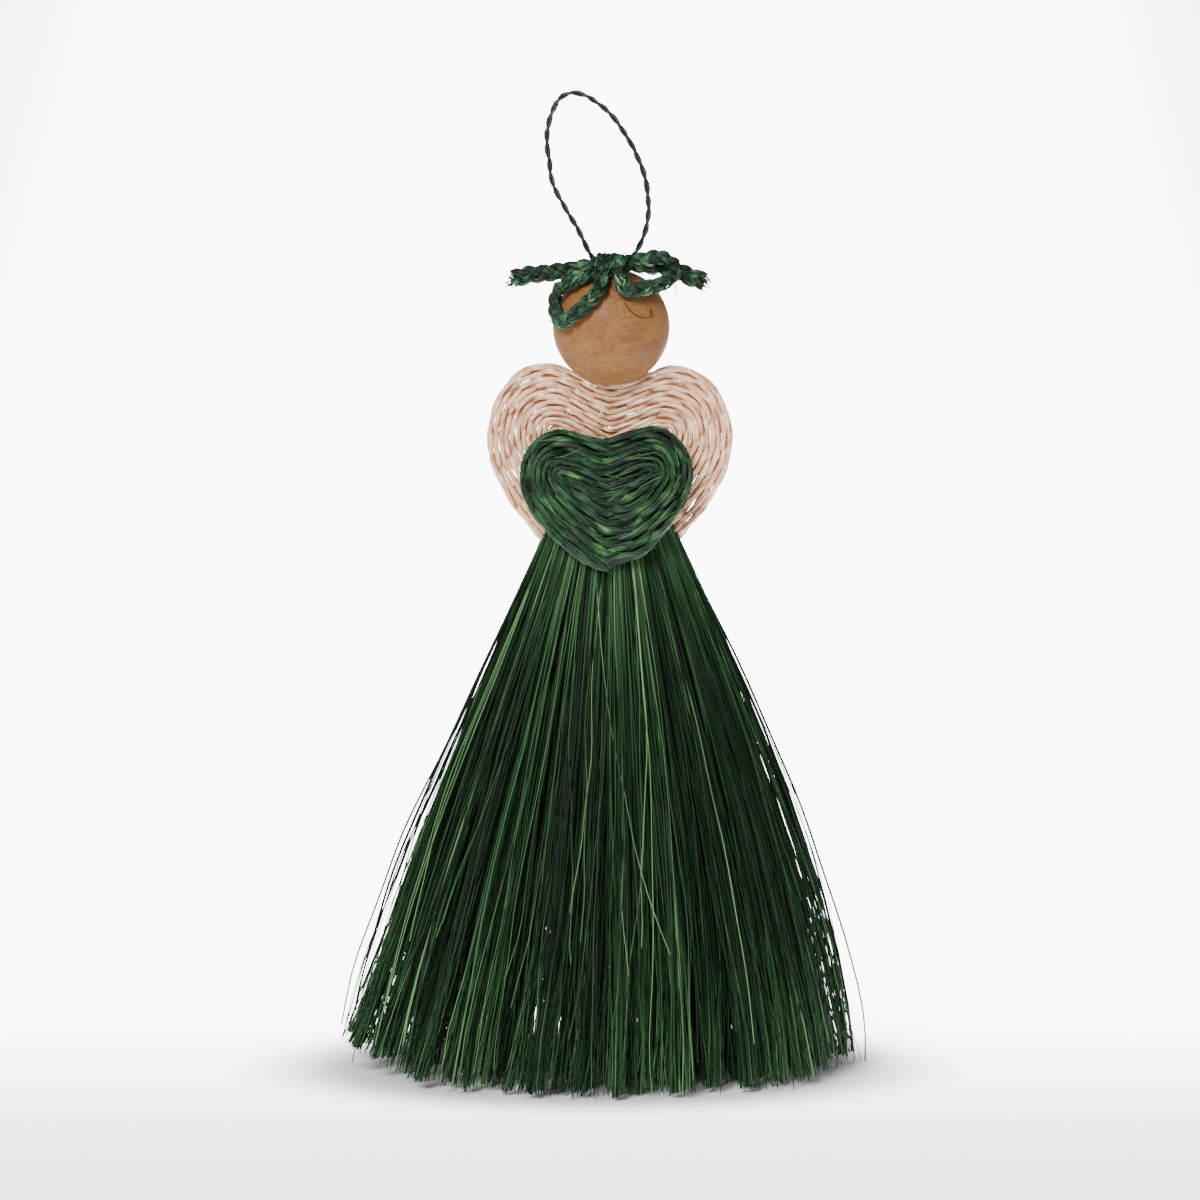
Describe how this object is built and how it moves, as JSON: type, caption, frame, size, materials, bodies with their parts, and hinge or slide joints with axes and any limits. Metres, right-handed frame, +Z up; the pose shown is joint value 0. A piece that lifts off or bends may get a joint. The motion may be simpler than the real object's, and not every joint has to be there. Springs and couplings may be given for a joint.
{
  "type": "angel ornament",
  "caption": "Standing angel ornament: spread skirt of green plant fibres, heart-shaped wings and bodice of coiled yarn, wooden bead head, plaited bow and a hanging loop.",
  "frame": {"origin": "on the floor under the middle of the skirt's hem", "axes": "+Z up from the hem to the bead, front of the bodice towards -Y, +X to the right of a viewer in front"},
  "size_m": [0.0878, 0.068, 0.1708],
  "materials": {
    "skirt_fibre": "stiff dyed plant fibre with a satin sheen",
    "bodice_yarn": "twisted dyed plant-fibre yarn with a satin sheen",
    "wing_yarn": "twisted pale plant-fibre yarn with a satin sheen",
    "bead_wood": "thin satin varnish",
    "bow_plait": "plaited dyed plant fibre",
    "twisted_cord": "hard-twisted dyed plant-fibre cord"
  },
  "bodies": {
    "root": {"fibre_skirt": "skirt_fibre", "bodice_heart": "bodice_yarn", "wing_heart": "wing_yarn", "head_bead": "bead_wood", "braided_bow": "bow_plait", "hanging_cord": "twisted_cord"}
  },
  "joints": []
}
